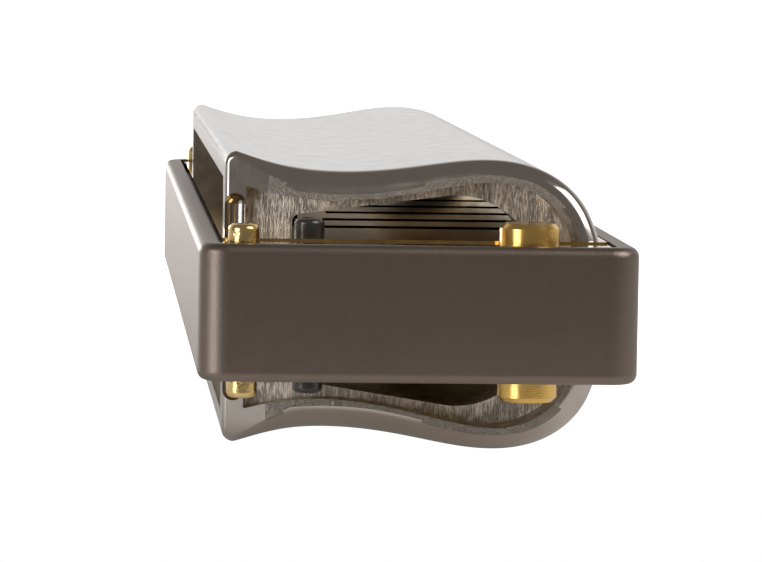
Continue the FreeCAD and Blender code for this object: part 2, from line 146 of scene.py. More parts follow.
class HARMONICA_PG_cover(PropertyGroup):
    """Sizes of the two milled covers."""
    hump_rise: length("Hump rise", "Outer hump above the comb", 4.9)
    dip_rise: length("Dip rise", "Lowest part of the grip dip above the comb", 4.0)
    lip_inset: length("Lip rounding", "Rounding of the rear lip", 0.75)
    tail_taper: length("End taper", "How much shorter each end is at the back", 6.8)
    shell: length("Shell thickness", "Wall of the cover over its hump", 1.42)
    dip_shell: length("Dip thickness", "Wall of the cover from the dip to the lip", 1.9)
    nose_shell: length("Nose thickness", "Wall of the cover at the mouth side", 1.8)
    rim_round: length("Rim rounding", "Rounding of the ends over the hump", 1.16)
    dip_round: length("Dip rim rounding", "Rounding of the ends over the dip", 1.45)
    nose_round: length("Nose rim rounding", "Rounding of the ends at the mouth side", 1.35)
    lip_round: length("Lip rim rounding", "Rounding of the ends at the lip", 0.5)
    back_round: length("Pillar rounding", "Rounding of the ends down the back", 0.28)
    pocket_nose: length("Pocket depth at the nose", "End wall behind the rim, mouth side", 4.0)
    pocket_tail: length("Pocket depth at the tail", "End wall behind the rim, rear", 1.0)
    pillar: length("Rear pillar", "Width of the corner left flush with the rim", 1.35)
    foot: length("Rear foot", "Solid foot behind the end wall", 1.9)
    window_front: length("Window front", "Cover's front to the end opening", 4.2)
    window_rear: length("Window rear", "Cover's back to the end opening", 4.35)
    window_low: length("Window low rise", "Opening's height at its rear", 1.05)
    window_high: length("Window high rise", "Opening's height at its crown", 2.5)
    window_corner: length("Window corner", "Rounding of the opening's rear corner", 0.6)
    notch: length("Notch radius", "Ball-ended relief in each rear pillar", 0.75)
    notch_rise: length("Notch rise", "Height of that relief", 2.4)
    edge: length("Broken edges", "Bevel on every sharp machined edge", 0.05)


class HARMONICA_PG_finish(PropertyGroup):
    """Colours of the metals."""
    nickel: colour("Cover nickel", "Polished dark nickel", 0.52, 0.475, 0.44)
    milled: colour("Milled steel", "Bare milled end walls", 0.76, 0.70, 0.625)
    comb: colour("Comb", "Bead-blasted bronze-grey metal", 0.23, 0.185, 0.155)
    plate: colour("Reed plate", "Polished plate brass", 0.62, 0.43, 0.16)
    reed: colour("Reeds", "Fine-ground reed brass", 0.80, 0.58, 0.26)
    post: colour("Corner bushes", "Turned bright brass", 0.86, 0.56, 0.17)
    screw: colour("Screws", "Black oxide", 0.035, 0.031, 0.03)
    dowel: colour("Dowels", "Ground steel", 0.62, 0.61, 0.60)
    tarnish: colour("Tarnish", "Brown film on old brass", 0.20, 0.115, 0.035)


class HARMONICA_PG_stage(PropertyGroup):
    """Camera, lights and floor."""
    reach: length("Camera distance", "From the near end of the comb to the camera", 271.5)
    lens: FloatProperty(name="Lens", description="Focal length", default=208.3, min=10.0,
                        unit="CAMERA")
    floor: colour("Floor", "Pale floor", 0.93, 0.93, 0.925)
    near_edge: length("Floor's near edge", "From the near end of the comb", 21.0)
    glow: share("Floor glow", "How far the floor is lit from within", 0.12, 2.0)
    backdrop: share("Backdrop", "Brightness of the wall behind the far end", 0.84, 4.0)
    shade: share("Shaded room", "Brightness of the room on the near side", 0.185, 4.0)


# ---- node building ---------------------------------------------------------
def place(tree, kind, **values):
    """Adds a node. Attributes and plain inputs are set by name, and sockets are linked."""
    made = tree.nodes.new(kind)
    for name, value in values.items():
        if hasattr(made, name):
            setattr(made, name, value)
        else:
            feed(tree, made.inputs[name.replace("_", " ")], value)
    return made


def feed(tree, socket, value):
    """Links a socket to another, or sets its plain value."""
    if isinstance(value, bpy.types.NodeSocket):
        tree.links.new(value, socket)
    elif socket.type == "RGBA":
        socket.default_value = (*value[:3], 1.0)
    else:
        socket.default_value = value


def maths(tree, operation, a, b=0.0, c=0.0, clamp=False):
    """One step of arithmetic on sockets or plain values."""
    made = tree.nodes.new("ShaderNodeMath")
    made.operation = operation
    made.use_clamp = clamp
    for socket, value in zip(made.inputs, (a, b, c)):
        feed(tree, socket, value)
    return made.outputs[0]


def scaled(tree, vector, amounts):
    """A vector stretched by its own amount along each axis."""
    made = tree.nodes.new("ShaderNodeVectorMath")
    made.operation = "MULTIPLY"
    feed(tree, made.inputs[0], vector)
    feed(tree, made.inputs[1], amounts)
    return made.outputs[0]


def noise(tree, vector, scale, detail=3.0, roughness=0.55):
    """A cloudy value over a place in millimetres."""
    made = place(tree, "ShaderNodeTexNoise", Vector=vector)
    made.inputs["Scale"].default_value = scale
    made.inputs["Detail"].default_value = detail
    made.inputs["Roughness"].default_value = roughness
    return made.outputs["Fac"]


def between(tree, value, low, high, to_low=0.0, to_high=1.0):
    """Maps a value's range onto another, smoothly and clamped."""
    made = tree.nodes.new("ShaderNodeMapRange")
    made.interpolation_type = "SMOOTHSTEP"
    for name, number in (("From Min", low), ("From Max", high), ("To Min", to_low),
                         ("To Max", to_high)):
        made.inputs[name].default_value = number
    feed(tree, made.inputs["Value"], value)
    return made.outputs["Result"]


def mixed(tree, factor, first, second):
    """One colour laid over another by a factor."""
    made = tree.nodes.new("ShaderNodeMix")
    made.data_type = "RGBA"
    sockets = {socket.identifier: socket for socket in (*made.inputs, *made.outputs)}
    feed(tree, sockets["Factor_Float"], factor)
    feed(tree, sockets["A_Color"], first)
    feed(tree, sockets["B_Color"], second)
    return sockets["Result_Color"]


def new_group(name, inputs, outputs):
    """A shader node group with its own sockets, and both ends of its inside."""
    tree = bpy.data.node_groups.new(name, "ShaderNodeTree")
    for label, kind, default in inputs:
        socket = tree.interface.new_socket(label, in_out="INPUT", socket_type=kind)
        if default is not None:
            socket.default_value = default
    for label in outputs:
        tree.interface.new_socket(label, in_out="OUTPUT", socket_type="NodeSocketFloat")
    entry = tree.nodes.new("NodeGroupInput")
    leave = tree.nodes.new("NodeGroupOutput")
    return tree, entry.outputs, leave.inputs


def use_group(tree, group, **values):
    """Places a node group in a material with its own values."""
    made = tree.nodes.new("ShaderNodeGroup")
    made.node_tree = group
    for name, value in values.items():
        feed(tree, made.inputs[name.replace("_", " ")], value)
    return made.outputs


def tool_marks_group():
    """Fine lines left by a cutter or a grinding belt, stretched along one axis."""
    found = bpy.data.node_groups.get("tool_marks")
    if found:
        return found
    tree, given, out = new_group(
        "tool_marks",
        [("Place", "NodeSocketVector", None), ("Stretch", "NodeSocketVector", (1.0, 1.0, 1.0)),
         ("Uneven", "NodeSocketFloat", 0.5)],
        ["Lines", "Patches"])
    drawn = scaled(tree, given["Place"], given["Stretch"])
    coarse = noise(tree, drawn, 1.0, 2.0, 0.6)
    fine = noise(tree, drawn, 3.1, 2.0, 0.7)
    patches = noise(tree, given["Place"], 0.9, 3.0, 0.6)
    lines = maths(tree, "MULTIPLY_ADD", fine, 0.6, maths(tree, "MULTIPLY", coarse, 0.4))
    faded = maths(tree, "MULTIPLY", maths(tree, "SUBTRACT", patches, 0.5), given["Uneven"])
    tree.links.new(maths(tree, "ADD", lines, faded), out["Lines"])
    tree.links.new(between(tree, patches, 0.35, 0.65), out["Patches"])
    return tree


def fine_grain_group():
    """The even grain of blasted or etched metal, with a few brighter flecks."""
    found = bpy.data.node_groups.get("fine_grain")
    if found:
        return found
    tree, given, out = new_group(
        "fine_grain",
        [("Place", "NodeSocketVector", None), ("Density", "NodeSocketFloat", 8.0)],
        ["Grain", "Flecks"])
    soft = place(tree, "ShaderNodeTexNoise", Vector=given["Place"], Scale=given["Density"])
    soft.inputs["Detail"].default_value = 4.0
    soft.inputs["Roughness"].default_value = 0.65
    cells = place(tree, "ShaderNodeTexVoronoi", Vector=given["Place"], Scale=given["Density"])
    pits = between(tree, cells.outputs["Distance"], 0.05, 0.5)
    cloud = maths(tree, "MULTIPLY", soft.outputs["Fac"], 0.55)
    grain = maths(tree, "MULTIPLY_ADD", pits, 0.45, cloud)
    tree.links.new(grain, out["Grain"])
    tree.links.new(between(tree, soft.outputs["Fac"], 0.60, 0.72), out["Flecks"])
    return tree


def patina_group():
    """Slow cloudy changes: film, fingerprints' haze and tarnish."""
    found = bpy.data.node_groups.get("patina")
    if found:
        return found
    tree, given, out = new_group(
        "patina",
        [("Place", "NodeSocketVector", None), ("Cover", "NodeSocketFloat", 0.5)],
        ["Film", "Haze"])
    cloud = noise(tree, given["Place"], 0.16, 5.0, 0.6)
    small = noise(tree, given["Place"], 0.9, 4.0, 0.65)
    both = maths(tree, "MULTIPLY_ADD", small, 0.35, maths(tree, "MULTIPLY", cloud, 0.65))
    level = maths(tree, "SUBTRACT", 0.72, maths(tree, "MULTIPLY", given["Cover"], 0.4))
    above = maths(tree, "MULTIPLY", maths(tree, "SUBTRACT", both, level), 5.0, clamp=True)
    tree.links.new(above, out["Film"])
    tree.links.new(between(tree, small, 0.3, 0.7), out["Haze"])
    return tree


def metal(name):
    """A metal's material with its Principled shader and its place in millimetres."""
    made = bpy.data.materials.new(name)
    made.use_nodes = True
    tree = made.node_tree
    tree.nodes.clear()
    shader = tree.nodes.new("ShaderNodeBsdfPrincipled")
    shader.inputs["Metallic"].default_value = 1.0
    out = tree.nodes.new("ShaderNodeOutputMaterial")
    tree.links.new(shader.outputs["BSDF"], out.inputs["Surface"])
    where = tree.nodes.new("ShaderNodeTexCoord").outputs["Object"]
    return made, tree, shader, scaled(tree, where, (1 / MM,) * 3)


def dented(tree, shader, height, depth):
    """Feeds a height, in millimetres of depth, to the shader's normal."""
    bump = tree.nodes.new("ShaderNodeBump")
    bump.inputs["Strength"].default_value = 1.0
    bump.inputs["Distance"].default_value = depth * MM
    tree.links.new(height, bump.inputs["Height"])
    tree.links.new(bump.outputs["Normal"], shader.inputs["Normal"])


def darker(tone, by):
    """A colour with every channel multiplied."""
    return tuple(channel * by for channel in tone)


# ---- materials -------------------------------------------------------------
def polished_nickel(finish):
    """Outside of the covers: bright, with faint wipe marks and haze."""
    made, tree, shader, where = metal("polished_nickel")
    marks = use_group(tree, tool_marks_group(), Place=where, Stretch=(0.5, 9.0, 9.0), Uneven=0.3)
    film = use_group(tree, patina_group(), Place=where, Cover=0.45)
    tone = mixed(tree, film["Film"], finish.nickel, darker(finish.nickel, 0.86))
    feed(tree, shader.inputs["Base Color"], tone)
    rough = maths(tree, "MULTIPLY_ADD", film["Haze"], 0.05, 0.10)
    feed(tree, shader.inputs["Roughness"], maths(tree, "MULTIPLY_ADD", marks["Lines"], 0.05, rough))
    dented(tree, shader, marks["Lines"], 0.0005)
    return made


def blasted_rim(finish):
    """The narrow sandy band where the rim turns into the end pocket."""
    made, tree, shader, where = metal("blasted_rim")
    grain = use_group(tree, fine_grain_group(), Place=where, Density=9.0)
    tone = mixed(tree, grain["Flecks"], darker(finish.milled, 0.37), (0.80, 0.76, 0.70))
    feed(tree, shader.inputs["Base Color"], tone)
    shader.inputs["Roughness"].default_value = 0.36
    dented(tree, shader, grain["Grain"], 0.09)
    return made


def milled_wall(finish):
    """End walls and pockets: upright cutter marks over bare steel."""
    made, tree, shader, where = metal("milled_wall")
    marks = use_group(tree, tool_marks_group(), Place=where, Stretch=(5.0, 5.0, 0.55), Uneven=0.5)
    grain = use_group(tree, fine_grain_group(), Place=where, Density=6.0)
    light = between(tree, marks["Lines"], 0.42, 0.60)
    tone = mixed(tree, light, darker(finish.milled, 0.38), finish.milled)
    tone = mixed(tree, maths(tree, "MULTIPLY", grain["Flecks"], 0.5), tone, (0.9, 0.87, 0.8))
    feed(tree, shader.inputs["Base Color"], tone)
    feed(tree, shader.inputs["Roughness"], maths(tree, "MULTIPLY_ADD", grain["Grain"], 0.2, 0.26))
    height = maths(tree, "MULTIPLY_ADD", grain["Grain"], 0.35, marks["Lines"])
    dented(tree, shader, height, 0.05)
    return made


def inner_skin(finish):
    """Inside of the covers: cutter marks along the length."""
    made, tree, shader, where = metal("inner_skin")
    marks = use_group(tree, tool_marks_group(), Place=where, Stretch=(0.25, 4.0, 4.0), Uneven=0.3)
    tone = mixed(tree, marks["Patches"], darker(finish.milled, 0.65), darker(finish.milled, 0.82))
    feed(tree, shader.inputs["Base Color"], tone)
    feed(tree, shader.inputs["Roughness"], maths(tree, "MULTIPLY_ADD", marks["Lines"], 0.15, 0.24))
    dented(tree, shader, marks["Lines"], 0.02)
    return made


def blasted_comb(finish):
    """The comb: bead-blasted and coated, an even satin."""
    made, tree, shader, where = metal("blasted_comb")
    grain = use_group(tree, fine_grain_group(), Place=where, Density=7.0)
    film = use_group(tree, patina_group(), Place=where, Cover=0.5)
    tone = mixed(tree, film["Film"], finish.comb, darker(finish.comb, 0.9))
    tone = mixed(tree, maths(tree, "MULTIPLY", grain["Flecks"], 0.10), tone, (0.6, 0.55, 0.5))
    feed(tree, shader.inputs["Base Color"], tone)
    feed(tree, shader.inputs["Roughness"], maths(tree, "MULTIPLY_ADD", grain["Grain"], 0.08, 0.36))
    dented(tree, shader, grain["Grain"], 0.012)
    return made


def plate_brass(finish):
    """The reed plates: mirror brass under a thin brown film."""
    made, tree, shader, where = metal("plate_brass")
    marks = use_group(tree, tool_marks_group(), Place=where, Stretch=(0.35, 7.0, 7.0), Uneven=0.3)
    film = use_group(tree, patina_group(), Place=where, Cover=0.62)
    tone = mixed(tree, film["Film"], finish.plate, mixed(tree, 0.5, finish.plate, finish.tarnish))
    feed(tree, shader.inputs["Base Color"], tone)
    rough = maths(tree, "MULTIPLY_ADD", film["Haze"], 0.03, 0.03)
    feed(tree, shader.inputs["Roughness"], maths(tree, "MULTIPLY_ADD", marks["Lines"], 0.03, rough))
    dented(tree, shader, marks["Lines"], 0.0006)
    return made


def reed_brass(finish):
    """Reeds and their pads: ground along the tongue."""
    made, tree, shader, where = metal("reed_brass")
    marks = use_group(tree, tool_marks_group(), Place=where, Stretch=(9.0, 0.5, 9.0), Uneven=0.4)
    tone = mixed(tree, marks["Patches"], darker(finish.reed, 0.85), finish.reed)
    feed(tree, shader.inputs["Base Color"], tone)
    feed(tree, shader.inputs["Roughness"], maths(tree, "MULTIPLY_ADD", marks["Lines"], 0.22, 0.14))
    dented(tree, shader, marks["Lines"], 0.01)
    return made


def rivet_brass(finish):
    """Rivet heads and corner screws: bright brass with small dimples."""
    made, tree, shader, where = metal("rivet_brass")
    grain = use_group(tree, fine_grain_group(), Place=where, Density=3.0)
    film = use_group(tree, patina_group(), Place=where, Cover=0.5)
    tone = mixed(tree, film["Film"], finish.reed, mixed(tree, 0.4, finish.reed, finish.tarnish))
    feed(tree, shader.inputs["Base Color"], tone)
    feed(tree, shader.inputs["Roughness"], maths(tree, "MULTIPLY_ADD", grain["Grain"], 0.1, 0.16))
    dented(tree, shader, grain["Grain"], 0.03)
    return made


def turned_brass(finish):
    """Corner bushes: lathe rings round the barrel, under a little cloudy film."""
    made, tree, shader, where = metal("turned_brass")
    marks = use_group(tree, tool_marks_group(), Place=where, Stretch=(0.4, 0.4, 9.0), Uneven=0.3)
    film = use_group(tree, patina_group(), Place=where, Cover=0.55)
    tone = mixed(tree, film["Film"], finish.post, mixed(tree, 0.3, finish.post, finish.tarnish))
    feed(tree, shader.inputs["Base Color"], tone)
    feed(tree, shader.inputs["Roughness"], maths(tree, "MULTIPLY_ADD", marks["Lines"], 0.14, 0.15))
    dented(tree, shader, marks["Lines"], 0.012)
    return made


def black_oxide(finish):
    """Plate screws: glossy black over steel."""
    made, tree, shader, where = metal("black_oxide")
    shader.inputs["Metallic"].default_value = 0.35
    shader.inputs["Coat Weight"].default_value = 0.6
    shader.inputs["Coat Roughness"].default_value = 0.12
    grain = use_group(tree, fine_grain_group(), Place=where, Density=5.0)
    film = use_group(tree, patina_group(), Place=where, Cover=0.55)
    tone = mixed(tree, film["Film"], finish.screw, (0.10, 0.085, 0.075))
    feed(tree, shader.inputs["Base Color"], tone)
    feed(tree, shader.inputs["Roughness"], maths(tree, "MULTIPLY_ADD", grain["Grain"], 0.15, 0.18))
    dented(tree, shader, grain["Grain"], 0.012)
    return made


def ground_steel(finish):
    """Dowels: centreless-ground steel, with rings round the pin."""
    made, tree, shader, where = metal("ground_steel")
    marks = use_group(tree, tool_marks_group(), Place=where, Stretch=(0.5, 0.5, 12.0), Uneven=0.2)
    tone = mixed(tree, marks["Patches"], darker(finish.dowel, 0.8), finish.dowel)
    feed(tree, shader.inputs["Base Color"], tone)
    feed(tree, shader.inputs["Roughness"], maths(tree, "MULTIPLY_ADD", marks["Lines"], 0.2, 0.15))
    dented(tree, shader, marks["Lines"], 0.006)
    return made


def pale_floor(stage):
    """A pale board, lit a little from within, with a faint tooth."""
    made, tree, shader, where = metal("pale_floor")
    shader.inputs["Metallic"].default_value = 0.0
    shader.inputs["Roughness"].default_value = 0.7
    shader.inputs["Specular IOR Level"].default_value = 0.2
    seen = tree.nodes.new("ShaderNodeLightPath").outputs["Is Camera Ray"]
    feed(tree, shader.inputs["Emission Strength"],
         maths(tree, "MULTIPLY_ADD", seen, SEEN_FLOOR - stage.glow, stage.glow))
    grain = use_group(tree, fine_grain_group(), Place=where, Density=0.8)
    tone = mixed(tree, grain["Grain"], darker(stage.floor, 0.985), tuple(stage.floor))
    feed(tree, shader.inputs["Base Color"], tone)
    feed(tree, shader.inputs["Emission Color"], tone)
    dented(tree, shader, grain["Grain"], 0.02)
    return made


# ---- cover mesh ------------------------------------------------------------
def smooth_curve(points, count):
    """Evenly spaced points along a natural cubic curve through the given ones."""
    given = np.array(points, float)
    knots = np.concatenate([[0], np.cumsum(np.linalg.norm(np.diff(given, axis=0), axis=1))])
    gaps = np.diff(knots)
    size = len(given)
    matrix = np.eye(size)
    target = np.zeros_like(given)
    for i in range(1, size - 1):
        matrix[i, i - 1:i + 2] = gaps[i - 1], 2 * (gaps[i - 1] + gaps[i]), gaps[i]
        slopes = np.diff(given[i - 1:i + 2], axis=0) / gaps[i - 1:i + 1, None]
        target[i] = 6 * (slopes[1] - slopes[0])
    bend = np.linalg.solve(matrix, target)
    along = np.linspace(0, knots[-1], count)
    span = np.clip(np.searchsorted(knots, along, side="right") - 1, 0, size - 2)
    gap = gaps[span][:, None]
    after = (along - knots[span])[:, None]
    before = gap - after
    curve = (bend[span] * before ** 3 + bend[span + 1] * after ** 3) / (6 * gap)
    curve += (given[span] / gap - bend[span] * gap / 6) * before
    curve += (given[span + 1] / gap - bend[span + 1] * gap / 6) * after
    return curve


def inward(points):
    """Unit normals of an open line, to its right as it runs."""
    along = np.gradient(points, axis=0)
    along /= np.linalg.norm(along, axis=1)[:, None]
    return np.stack([along[:, 1], -along[:, 0]], axis=1)


def outer_section(cover):
    """(y, z) points from the seat in front, over the hump and dip, to the lip."""
    hump, dip = cover.hump_rise, cover.dip_rise
    rear_rises = (dip + SLOPE_DOWN * (hump - dip), dip, dip + SLOPE_UP * (LIP_RISE - dip))
    points = [(COVER_FRONT + s * COVER_DEPTH, SEAT + r * hump)
              for s, r in zip(FRONT_SHARES, FRONT_RISES)]
    points += [(COVER_FRONT + s * COVER_DEPTH, SEAT + r) for s, r in zip(REAR_SHARES, rear_rises)]
    points.append((COVER_BACK - cover.lip_inset, SEAT + LIP_RISE))
    return smooth_curve(points, SECTION_POINTS)


def inner_section(cover):
    """The outer section moved inwards by the shell, thinnest over the hump."""
    outer = outer_section(cover)
    run = np.linspace(0, 1, len(outer))
    thickness = np.interp(run, WALL_STATIONS,
                          (cover.nose_shell, cover.shell, cover.shell, cover.dip_shell))
    return outer + inward(outer) * thickness[:, None]


def closed_section(cover):
    """The outer section with its lip and back face, and the rounding of the ends there."""
    outer = outer_section(cover)
    below = 1.0 * MM
    lead = outer[0] - (outer[1] - outer[0]) / np.linalg.norm(outer[1] - outer[0]) * below
    turns = np.linspace(0, math.pi / 2, 9)[1:]
    centre = outer[-1] - (0, cover.lip_inset)
    lip = [centre + cover.lip_inset * np.array((math.sin(t), math.cos(t))) for t in turns]
    down = [(COVER_BACK, z) for z in np.linspace(lip[-1][1], SEAT - below, 24)[1:]]
    points = np.vstack([[lead], outer, lip, down])
    run = np.linspace(0, 1, len(outer))
    over = np.interp(run, ROUND_STATIONS,
                     (cover.nose_round, cover.nose_round, cover.rim_round, cover.rim_round,
                      cover.dip_round, cover.dip_round, cover.lip_round, cover.lip_round))
    rounds = np.concatenate([[cover.nose_round], over,
                             np.linspace(cover.lip_round, cover.back_round, len(lip)),
                             np.full(len(down), cover.back_round)])
    return points, rounds


def end_at(cover, y):
    """Where the slanted end of a cover lies at a given y."""
    return NOSE_END - cover.tail_taper * (y - COVER_FRONT) / COVER_DEPTH


def wall_at(cover, y):
    """Outer face of the end wall, set back behind the rim."""
    way = (y - COVER_FRONT) / COVER_DEPTH
    return end_at(cover, y) - (cover.pocket_nose + (cover.pocket_tail - cover.pocket_nose) * way)


def new_piece(name, mesh):
    """An object in the scene that holds the mesh."""
    made = bpy.data.objects.new(name, mesh)
    bpy.context.scene.collection.objects.link(made)
    return made


def cover_blank(cover, materials):
    """A solid cover with slanted ends whose rims are rounded along the whole section."""
    points, rounds = closed_section(cover)
    normals = inward(points)
    body = bmesh.new()
    columns = []
    for side in (-1, 1):
        rings = []
        for step in range(RIM_STEPS + 1):
            turn = math.pi / 2 * step / RIM_STEPS
            moved = points + normals * (rounds * (1 - math.cos(turn)))[:, None]
            back_off = rounds * (1 - math.sin(turn))
            ring = [body.verts.new((side * (end_at(cover, y) - off), y, z))
                    for (y, z), off in zip(moved, back_off)]
            rings.append(ring)
        columns += reversed(rings) if side < 0 else rings
    for one, two in zip(columns, columns[1:]):
        for a, b, c, d in zip(one, two, two[1:], one[1:]):
            body.faces.new((a, b, c, d))
    body.faces.new(reversed(columns[0]))
    body.faces.new(columns[-1])
    open_edges = [e for e in body.edges if e.is_boundary]
    bmesh.ops.contextual_create(body, geom=open_edges)
    bmesh.ops.recalc_face_normals(body, faces=body.faces)
    everything = body.verts[:] + body.edges[:] + body.faces[:]
    cut = bmesh.ops.bisect_plane(body, geom=everything, plane_co=(0, 0, SEAT), plane_no=(0, 0, 1),
                                 clear_inner=True)
    rim = [e for e in cut["geom_cut"] if isinstance(e, bmesh.types.BMEdge)]
    bmesh.ops.contextual_create(body, geom=rim)
    split_pillars(body, cover)
    bmesh.ops.recalc_face_normals(body, faces=body.faces)
    for face in body.faces:
        face.material_index = 1 if on_sandy_band(face, cover) else 0
    mesh = bpy.data.meshes.new("cover_blank")
    body.to_mesh(mesh)
    body.free()
    for one in materials:
        mesh.materials.append(one)
    return new_piece("cover_blank", mesh)


def split_pillars(body, cover):
    """Divides the flat ends where the polished rear pillar begins."""
    everything = body.verts[:] + body.edges[:] + body.faces[:]
    bmesh.ops.bisect_plane(body, geom=everything, plane_no=(0, 1, 0),
                           plane_co=(0, COVER_BACK - cover.pillar - cover.shell, 0))


def on_sandy_band(face, cover):
    """Whether a face of the blank lies on its flat end, in front of the rear pillar."""
    middle = face.calc_center_median()
    flat = abs(abs(middle.x) - end_at(cover, middle.y)) < 0.01 * MM
    return flat and middle.y < COVER_BACK - cover.pillar - cover.shell


def prism(name, outline, near, far, material):
    """A closed (y, z) outline carried along X between two faces given as functions of y."""
    body = bmesh.new()
    ends = [[body.verts.new((face(y), y, z)) for y, z in outline] for face in (near, far)]
    for (a, b), (c, d) in zip(pairs(ends[0]), pairs(ends[1])):
        body.faces.new((a, b, d, c))
    body.faces.new(reversed(ends[0]))
    body.faces.new(ends[1])
    bmesh.ops.recalc_face_normals(body, faces=body.faces)
    mesh = bpy.data.meshes.new(name)
    body.to_mesh(mesh)
    body.free()
    mesh.materials.append(material)
    return new_piece(name, mesh)


def pairs(loop):
    """Each item of a closed loop with the next."""
    return list(zip(loop, loop[1:] + loop[:1]))


def under_outline(cover, rear):
    """Outline of the space under the shell, back to a given y."""
    inner = [tuple(p) for p in inner_section(cover) if p[0] < min(rear, COVER_BACK) - 1e-6]
    floor = SEAT - UNDER
    last = inner[-1][1]
    return inner + [(rear, last), (rear, floor), (inner[0][0], floor)]


def window_outline(cover):
    """Outline of the end opening: a slanting top, a rounded corner and a sweep in front."""
    rear = COVER_BACK - cover.window_rear
    front = COVER_FRONT + cover.window_front
    floor = SEAT - UNDER
    crown = np.array((COVER_FRONT + CROWN_SHARE * COVER_DEPTH, SEAT + cover.window_high))
    corner = np.array((rear, SEAT + cover.window_low))
    slope = (crown - corner) / np.linalg.norm(crown - corner)
    r = cover.window_corner
    outline = [(rear, floor)]
    start = corner - (0, r)
    stop = corner + slope * r
    for t in np.linspace(0, 1, 9):
        outline.append(tuple((1 - t) ** 2 * start + 2 * t * (1 - t) * corner + t ** 2 * stop))
    bulge = np.array((front + BULGE_SHARE * (crown[0] - front),
                      SEAT + BULGE_RISE * cover.window_high))
    foot = np.array((front, SEAT))
    outline += arc_points(crown, bulge, foot, 22)
    outline.append((front, floor))
    return outline


def arc_points(a, b, c, count):
    """Points along the circle's arc from a through b to c."""
    matrix = 2 * np.array((b - a, c - a))
    centre = np.linalg.solve(matrix, np.array((b @ b - a @ a, c @ c - a @ a)))
    turns = [math.atan2(*(p - centre)[::-1]) for p in (a, b, c)]
    first, last = turns[0], turns[2]
    if not min(first, last) <= turns[1] <= max(first, last):
        last += math.tau if last < first else -math.tau
    radius = np.linalg.norm(a - centre)
    return [tuple(centre + radius * np.array((math.cos(t), math.sin(t))))
            for t in np.linspace(first, last, count)]


def notch_cutter(cover, side, material):
    """A ball-ended groove up the outer corner of a rear pillar."""
    y = COVER_BACK - cover.pillar / 2
    radius = cover.notch
    body = bmesh.new()
    bmesh.ops.create_uvsphere(body, u_segments=40, v_segments=20, radius=radius)
    straight = cover.notch_rise - radius
    for vert in body.verts:
        if vert.co.z < -1e-6:
            vert.co = (vert.co.x, vert.co.y, 0)
    bottom = [v for v in body.verts if abs(v.co.z) < 1e-6 and v.co.xy.length < radius * 0.999]
    bmesh.ops.delete(body, geom=bottom, context="VERTS")
    rim = [e for e in body.edges if e.is_boundary]
    grown = bmesh.ops.extrude_edge_only(body, edges=rim)["geom"]
    low = [v for v in grown if isinstance(v, bmesh.types.BMVert)]
    for vert in low:
        vert.co.z = -straight - UNDER
    bmesh.ops.contextual_create(body, geom=[e for e in body.edges if e.is_boundary])
    bmesh.ops.recalc_face_normals(body, faces=body.faces)
    move = Matrix.Translation((side * end_at(cover, y), y, SEAT + straight))
    bmesh.ops.transform(body, matrix=move, verts=body.verts)
    mesh = bpy.data.meshes.new("notch_cutter")
    body.to_mesh(mesh)
    body.free()
    mesh.materials.append(material)
    return new_piece("notch_cutter", mesh)


def carved(blank, cutters):
    """The blank with every cutter taken away. The cutters are removed."""
    for cutter in cutters:
        step = blank.modifiers.new("carve", "BOOLEAN")
        step.operation = "DIFFERENCE"
        step.solver = "EXACT"
        step.material_mode = "TRANSFER"
        step.object = cutter
    graph = bpy.context.evaluated_depsgraph_get()
    mesh = bpy.data.meshes.new_from_object(blank.evaluated_get(graph))
    for spent in (blank, *cutters):
        bpy.data.objects.remove(spent)
    return mesh


def soften(piece, cover):
    """Breaks the sharp edges and keeps flat faces flat in the shading."""
    piece.data.set_sharp_from_angle(angle=math.radians(35))
    bevel = piece.modifiers.new("broken_edges", "BEVEL")
    bevel.limit_method = "ANGLE"
    bevel.angle_limit = math.radians(38)
    bevel.width = cover.edge
    bevel.segments = 2
    bevel.use_clamp_overlap = True
    bevel.harden_normals = False
    weighted = piece.modifiers.new("even_shading", "WEIGHTED_NORMAL")
    weighted.keep_sharp = True
    weighted.weight = 80


def cover_piece(name, node, skins, flip):
    """One finished cover. The draw side's is the mirror image of the blow side's."""
    cover = bpy.context.scene.harmonica_cover
    polish, sandy, wall, inner = skins
    open_x = wall_at(cover, COVER_BACK) - cover.foot
    cutters = [
        prism("open_back", under_outline(cover, COVER_BACK + CLEAR),
              lambda y: -open_x, lambda y: open_x, inner),
        prism("end_window", window_outline(cover), lambda y: -FAR, lambda y: FAR, wall)]
    for side in (-1, 1):
        pocket = under_outline(cover, COVER_BACK - cover.pillar)
        cutters.append(prism("end_pocket", pocket, lambda y, s=side: s * wall_at(cover, y),
                             lambda y, s=side: s * FAR, wall))
        cutters.append(notch_cutter(cover, side, polish))
    mesh = carved(cover_blank(cover, [polish, sandy]), cutters)
    if flip:
        mesh.transform(Matrix.Scale(-1, 4, (0, 0, 1)))
        mesh.flip_normals()
    mesh.name = name
    piece = new_piece(name, mesh)
    soften(piece, cover)
    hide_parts(node)
    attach(piece, BODY)
    return piece


def dress(names, material):
    """Gives CAD nodes their finish."""
    for name in names:
        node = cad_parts[name]
        if node.material_slots:
            node.material_slots[0].material = material
        else:
            node.data.materials.append(material)


# ---- operators -------------------------------------------------------------
class HARMONICA_OT_covers(Operator):
    """Build both milled covers with their rims, pockets and windows"""
    bl_idname = "harmonica.covers"
    bl_label = "Covers"

    def execute(self, context):
        finish = context.scene.harmonica_finish
        skins = [polished_nickel(finish), blasted_rim(finish), milled_wall(finish),
                 inner_skin(finish)]
        cover_piece("top_cover_shell", "top_cover", skins, flip=False)
        cover_piece("bottom_cover_shell", "bottom_cover", skins, flip=True)
        return {"FINISHED"}


class HARMONICA_OT_comb(Operator):
    """Finish the comb in bead-blasted metal"""
    bl_idname = "harmonica.comb"
    bl_label = "Comb"

    def execute(self, context):
        dress(["comb"], blasted_comb(context.scene.harmonica_finish))
        return {"FINISHED"}


